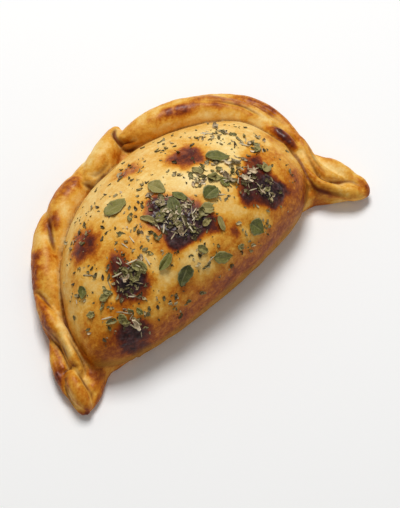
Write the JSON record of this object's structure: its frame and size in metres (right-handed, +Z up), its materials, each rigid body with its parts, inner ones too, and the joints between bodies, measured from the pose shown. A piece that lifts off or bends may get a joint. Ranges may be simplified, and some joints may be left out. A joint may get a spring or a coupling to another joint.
{
  "type": "empanada",
  "caption": "Whole baked empanada: a domed half-moon pastry pocket with a rolled, pleated seam, drawn-out tips and a flat base.",
  "frame": {"origin": "centre of the part's box in plan, on the surface it rests on", "axes": "+X from the left tip to the right tip, +Y towards the pleated seam, +Z up"},
  "size_m": [0.1506, 0.0896, 0.039],
  "materials": {
    "crust": "baked wheat pastry, golden with dark scorched spots, lightly glossy from egg wash"
  },
  "bodies": {
    "root": {"crust": "crust"}
  },
  "joints": []
}
